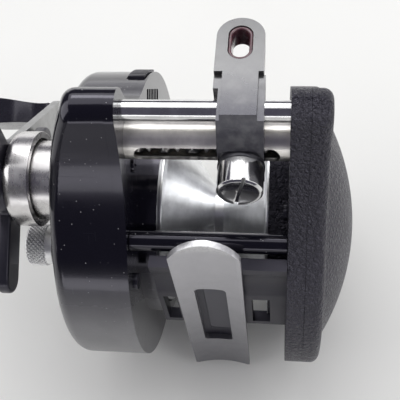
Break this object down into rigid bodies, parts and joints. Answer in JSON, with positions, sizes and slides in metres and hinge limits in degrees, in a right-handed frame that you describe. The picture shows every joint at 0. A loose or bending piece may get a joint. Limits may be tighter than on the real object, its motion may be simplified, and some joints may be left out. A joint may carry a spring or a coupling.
{
  "type": "baitcasting fishing reel",
  "caption": "Low-profile line-winding reel: a spool between two side plates, geared to a double-knob crank, with a level-wind line guide and a rod foot.",
  "frame": {"origin": "middle of the spool, on its axis", "axes": "+X along the spool axis away from the crank, -Y the way the line leaves, -Z towards the rod foot"},
  "size_m": [0.1007, 0.0802, 0.0838],
  "materials": {
    "black_gloss": "gloss black lacquer, lightly scratched",
    "black_grain": "black, moulded with a fine leather grain",
    "bright_chrome": "bright plated",
    "base_black": "satin black moulding",
    "pad_black": "dark inlay, plain",
    "foot_grey": "satin gunmetal, worn at the front edge",
    "screw_steel": "turned steel",
    "spool_aluminium": "turned and polished",
    "brass": "machined brass",
    "drag_fibre": "pressed fibre",
    "star_black": "smooth black",
    "arm_grey": "satin silver grey",
    "knob_black": "moulded black",
    "tube_nickel": "warm nickel plate",
    "guide_gunmetal": "gunmetal gloss",
    "ring_ceramic": "glazed ruby ceramic",
    "knurled_silver": "diamond knurled"
  },
  "bodies": {
    "root": {"handle_side_plate": "black_gloss", "palm_side_plate": "black_grain", "front_pillar": "black_gloss", "rear_pillar": "black_gloss", "base_plate": "base_black", "seat_pad": "pad_black", "reel_foot": "foot_grey", "foot_screws": "screw_steel", "plate_screws": "screw_steel", "handle_side_cover": "black_gloss", "palm_side_cover": "black_grain", "brake_plate": "base_black", "handle_side_bearing": "screw_steel", "palm_side_bearing": "screw_steel", "drive_bush": "brass", "drive_outer_bush": "brass", "shaft_housing": "bright_chrome", "worm_bushings": "brass", "level_wind_tube": "tube_nickel", "guide_bar": "bright_chrome", "yoke_posts": "screw_steel"},
    "spool": {"spool": "spool_aluminium", "spool_shaft": "screw_steel", "brake_carrier": "brass", "brake_blocks": "drag_fibre"},
    "pinion": {"pinion_gear": "brass"},
    "drive": {"drive_shaft": "screw_steel", "main_gear": "brass", "level_wind_drive_gear": "brass", "ratchet_wheel": "screw_steel", "drag_washers": "drag_fibre", "handle_arm": "arm_grey", "arm_spacer": "bright_chrome", "handle_nut": "bright_chrome", "upper_knob_post": "screw_steel", "lower_knob_post": "screw_steel"},
    "star": {"star_drag": "star_black", "hub_sleeve": "bright_chrome"},
    "upper_knob": {"upper_handle_knob": "knob_black"},
    "lower_knob": {"lower_handle_knob": "knob_black"},
    "idler": {"idler_gear": "knob_black"},
    "worm": {"worm_gear": "brass", "worm_shaft": "screw_steel"},
    "guide": {"guide_carriage": "guide_gunmetal", "guide_ring": "ring_ceramic", "pawl_cap": "bright_chrome"},
    "pawl": {"pawl": "screw_steel"},
    "yoke": {"clutch_yoke": "screw_steel"},
    "dog": {"anti_reverse_dog": "screw_steel"},
    "brake_knob": {"brake_knob": "knurled_silver", "brake_knob_gear": "brass"},
    "magnets": {"magnet_ring": "knob_black", "brake_magnets": "screw_steel"},
    "button": {"release_button": "arm_grey", "release_link": "screw_steel"}
  },
  "joints": [
    {"name": "drive_spin", "type": "hinge", "parent": "root", "child": "drive", "pos_m": [0, -0.01684, -0.00231], "axis": [1, 0, 0], "continuous": true},
    {"name": "spool_spin", "type": "hinge", "parent": "root", "child": "spool", "pos_m": [0, 0, 0], "axis": [1, 0, 0], "continuous": true},
    {"name": "pinion_slide", "type": "slide", "parent": "spool", "child": "pinion", "axis": [-1, 0, 0], "range_m": [0, 0.0011]},
    {"name": "star_turn", "type": "hinge", "parent": "drive", "child": "star", "pos_m": [0, -0.01684, -0.00231], "axis": [1, 0, 0], "range_deg": [-120, 120]},
    {"name": "upper_knob_spin", "type": "hinge", "parent": "drive", "child": "upper_knob", "pos_m": [0, 0.00692, 0.03293], "axis": [1, 0, 0], "continuous": true},
    {"name": "lower_knob_spin", "type": "hinge", "parent": "drive", "child": "lower_knob", "pos_m": [0, -0.04061, -0.03754], "axis": [1, 0, 0], "continuous": true},
    {"name": "idler_spin", "type": "hinge", "parent": "root", "child": "idler", "pos_m": [0, -0.0276, -0.0056], "axis": [1, 0, 0], "continuous": true},
    {"name": "worm_spin", "type": "hinge", "parent": "root", "child": "worm", "pos_m": [0, -0.0348, -0.00475], "axis": [1, 0, 0], "continuous": true},
    {"name": "guide_slide", "type": "slide", "parent": "root", "child": "guide", "axis": [1, 0, 0], "range_m": [-0.0157, 0.0031]},
    {"name": "pawl_swivel", "type": "hinge", "parent": "guide", "child": "pawl", "pos_m": [0.0063, -0.0348, -0.01], "axis": [0, 0, 1], "range_deg": [-25, 25]},
    {"name": "yoke_slide", "type": "slide", "parent": "root", "child": "yoke", "axis": [-1, 0, 0], "range_m": [0, 0.0011]},
    {"name": "dog_swing", "type": "hinge", "parent": "root", "child": "dog", "pos_m": [0, -0.02115, 0.00953], "axis": [1, 0, 0], "range_deg": [0, 14]},
    {"name": "brake_knob_turn", "type": "hinge", "parent": "root", "child": "brake_knob", "pos_m": [0, -0.00222, -0.01026], "axis": [1, 0, 0], "range_deg": [0, 270]},
    {"name": "magnet_turn", "type": "hinge", "parent": "root", "child": "magnets", "pos_m": [0, 0, 0], "axis": [1, 0, 0], "range_deg": [-90, 5]},
    {"name": "release_press", "type": "slide", "parent": "root", "child": "button", "axis": [0, 0.7431, -0.6691], "range_m": [0, 0.002], "stiffness_N_per_m": 400, "springref_m": -0.001}
  ],
  "couplings": [
    {"joint": "spool_spin", "follows": "drive_spin", "ratio": -4.6667},
    {"joint": "idler_spin", "follows": "drive_spin", "ratio": -2},
    {"joint": "worm_spin", "follows": "drive_spin", "ratio": 2.1429},
    {"joint": "magnet_turn", "follows": "brake_knob_turn", "ratio": -0.3125},
    {"joint": "yoke_slide", "follows": "release_press", "ratio": 0.5},
    {"joint": "pinion_slide", "follows": "release_press", "ratio": 0.5}
  ]
}
